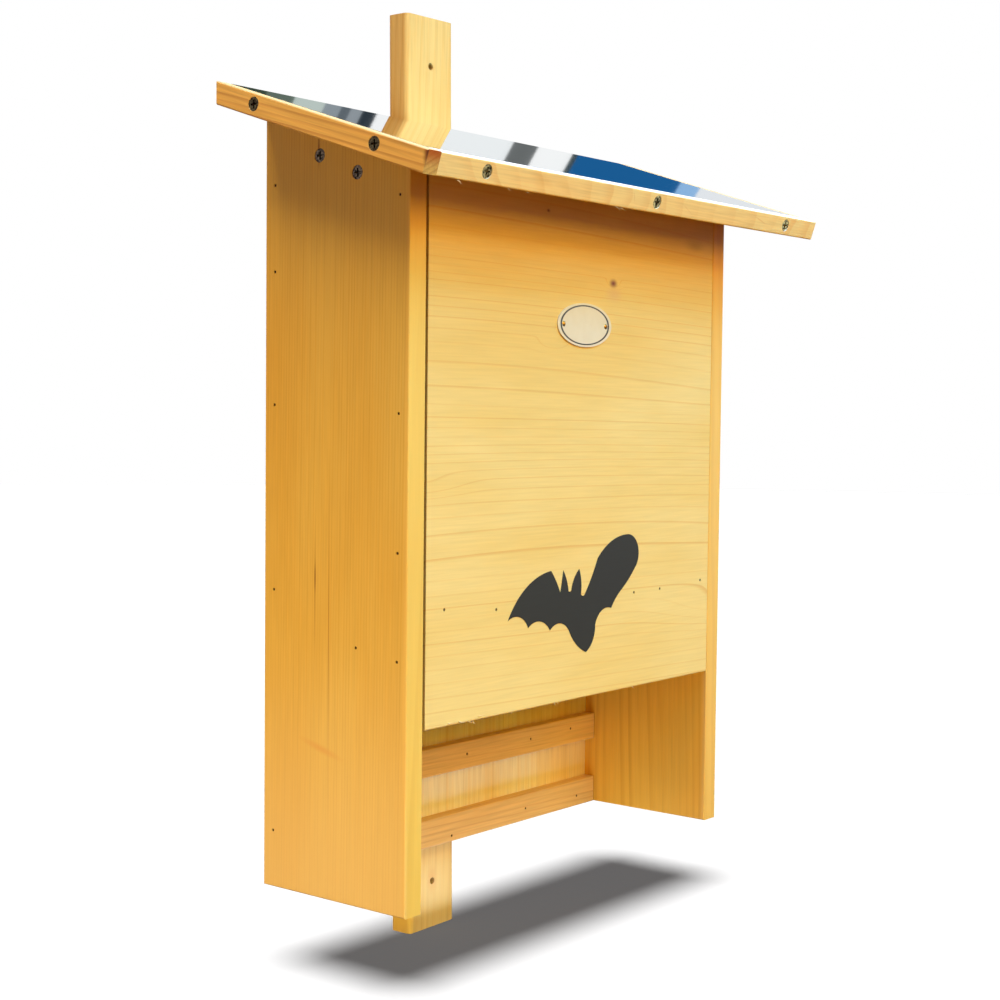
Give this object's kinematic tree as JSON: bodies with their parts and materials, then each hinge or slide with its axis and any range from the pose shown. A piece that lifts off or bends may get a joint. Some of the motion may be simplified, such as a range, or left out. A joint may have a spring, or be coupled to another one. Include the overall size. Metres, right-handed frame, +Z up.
{
  "type": "bat box",
  "caption": "Wooden bat box on a long wall rail, open below, with landing battens and a sloping metal-covered roof framed by strips.",
  "frame": {"origin": "where the axis of the rail's upper screw hole meets the wall", "axes": "+X to the right seen from the front, +Y into the wall, +Z up"},
  "size_m": [0.364, 0.1563, 0.5306],
  "materials": {
    "side_spruce": "orange-honey stained spruce, planed, straight upright grain",
    "front_spruce": "honey stained spruce, planed, wide level grain",
    "back_spruce": "stained spruce, upright grain",
    "batten_pine": "stained pine with reddish growth lines",
    "rail_spruce": "pale planed spruce",
    "inner_spruce": "plain spruce",
    "strip_pine": "stained pine, sawn ends",
    "polished_sheet": "polished to a mirror",
    "plate_enamel": "cream lacquer, bare",
    "print_black": "flat black printing ink",
    "screw_zinc": "yellow passivated zinc",
    "brad_steel": "bright steel gone dark in the stain",
    "nail_brass": "brass plated"
  },
  "bodies": {
    "root": {"side_panel_left": "side_spruce", "side_panel_right": "side_spruce", "front_panel": "front_spruce", "back_panel": "back_spruce", "landing_batten_lower": "batten_pine", "landing_batten_upper": "batten_pine", "mounting_rail": "rail_spruce", "sloping_floor": "inner_spruce", "roof_cleat_left": "inner_spruce", "roof_cleat_right": "inner_spruce", "roof_board": "inner_spruce", "roof_sheet": "polished_sheet", "roof_strip_left": "strip_pine", "roof_strip_right": "strip_pine", "roof_strip_front": "strip_pine", "name_plate": "plate_enamel", "printed_bat": "print_black", "strip_screws": "screw_zinc", "cleat_screws": "screw_zinc", "roof_board_screws": "screw_zinc", "rail_screws": "screw_zinc", "front_panel_brads": "brad_steel", "back_panel_brads": "brad_steel", "floor_brads": "brad_steel", "batten_brads": "brad_steel", "plate_nails": "nail_brass"}
  },
  "joints": []
}
